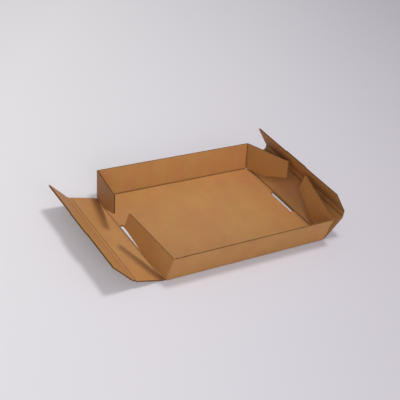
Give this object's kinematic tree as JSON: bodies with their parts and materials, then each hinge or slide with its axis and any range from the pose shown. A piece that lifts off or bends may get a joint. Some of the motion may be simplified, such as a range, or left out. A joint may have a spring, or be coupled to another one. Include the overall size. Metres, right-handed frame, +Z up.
{
  "type": "cardboard tray box",
  "caption": "Shallow roll-end tray of corrugated board, part-folded, with corner flaps and tabbed roll-over end walls left open.",
  "frame": {"origin": "middle of the base's underside, on the surface it stands on", "axes": "+X towards the right end wall along the base's length, +Y towards the back wall, +Z up"},
  "size_m": [0.4551, 0.2669, 0.0941],
  "materials": {
    "kraft_board": "plain brown kraft liner, matt"
  },
  "bodies": {
    "base_panel": {"base_panel": "kraft_board"},
    "front_wall": {"front_wall": "kraft_board"},
    "front_left_flap": {"front_left_flap": "kraft_board"},
    "front_right_flap": {"front_right_flap": "kraft_board"},
    "back_wall": {"back_wall": "kraft_board"},
    "back_left_flap": {"back_left_flap": "kraft_board"},
    "back_right_flap": {"back_right_flap": "kraft_board"},
    "left_end_wall": {"left_end_wall": "kraft_board"},
    "left_top_strip": {"left_top_strip": "kraft_board"},
    "left_roll_over": {"left_roll_over": "kraft_board"},
    "right_end_wall": {"right_end_wall": "kraft_board"},
    "right_top_strip": {"right_top_strip": "kraft_board"},
    "right_roll_over": {"right_roll_over": "kraft_board"}
  },
  "joints": [
    {"name": "front_wall_fold", "type": "hinge", "parent": "base_panel", "child": "front_wall", "pos_m": [0, -0.12, 0.0025], "axis": [-1, 0, 0], "range_deg": [-1.5, 7]},
    {"name": "front_left_flap_fold", "type": "hinge", "parent": "front_wall", "child": "front_left_flap", "pos_m": [-0.158, -0.12594, 0.02704], "axis": [0, 0.2351, -0.972], "range_deg": [-30, 93.8]},
    {"name": "front_right_flap_fold", "type": "hinge", "parent": "front_wall", "child": "front_right_flap", "pos_m": [0.158, -0.12594, 0.02704], "axis": [0, -0.2351, 0.972], "range_deg": [-1, 87.5]},
    {"name": "back_wall_fold", "type": "hinge", "parent": "base_panel", "child": "back_wall", "pos_m": [0, 0.12, 0.0025], "axis": [1, 0, 0], "range_deg": [-2.5, 4.5]},
    {"name": "back_left_flap_fold", "type": "hinge", "parent": "back_wall", "child": "back_left_flap", "pos_m": [-0.158, 0.12508, 0.02723], "axis": [0, 0.2011, 0.9796], "range_deg": [-30, 92.2]},
    {"name": "back_right_flap_fold", "type": "hinge", "parent": "back_wall", "child": "back_right_flap", "pos_m": [0.158, 0.12508, 0.02723], "axis": [0, -0.2011, -0.9796], "range_deg": [-1.5, 88]},
    {"name": "left_end_wall_fold", "type": "hinge", "parent": "base_panel", "child": "left_end_wall", "pos_m": [-0.163, 0, 0.0025], "axis": [0, 1, 0], "range_deg": [-13.2, 34]},
    {"name": "left_top_strip_fold", "type": "hinge", "parent": "left_end_wall", "child": "left_top_strip", "pos_m": [-0.21168, 0, 0.01392], "axis": [0, 1, 0], "range_deg": [-14.9, 70]},
    {"name": "left_roll_over_fold", "type": "hinge", "parent": "left_top_strip", "child": "left_roll_over", "pos_m": [-0.21962, 0, 0.01816], "axis": [0, 1, 0], "range_deg": [-14.9, 75]},
    {"name": "right_end_wall_fold", "type": "hinge", "parent": "base_panel", "child": "right_end_wall", "pos_m": [0.163, 0, 0.0025], "axis": [0, -1, 0], "range_deg": [-52, 1.5]},
    {"name": "right_top_strip_fold", "type": "hinge", "parent": "right_end_wall", "child": "right_top_strip", "pos_m": [0.19378, 0, 0.0419], "axis": [0, -1, 0], "range_deg": [-36.5, 2]},
    {"name": "right_roll_over_fold", "type": "hinge", "parent": "right_top_strip", "child": "right_roll_over", "pos_m": [0.19402, 0, 0.0509], "axis": [0, -1, 0], "range_deg": [-36.5, 3]}
  ]
}
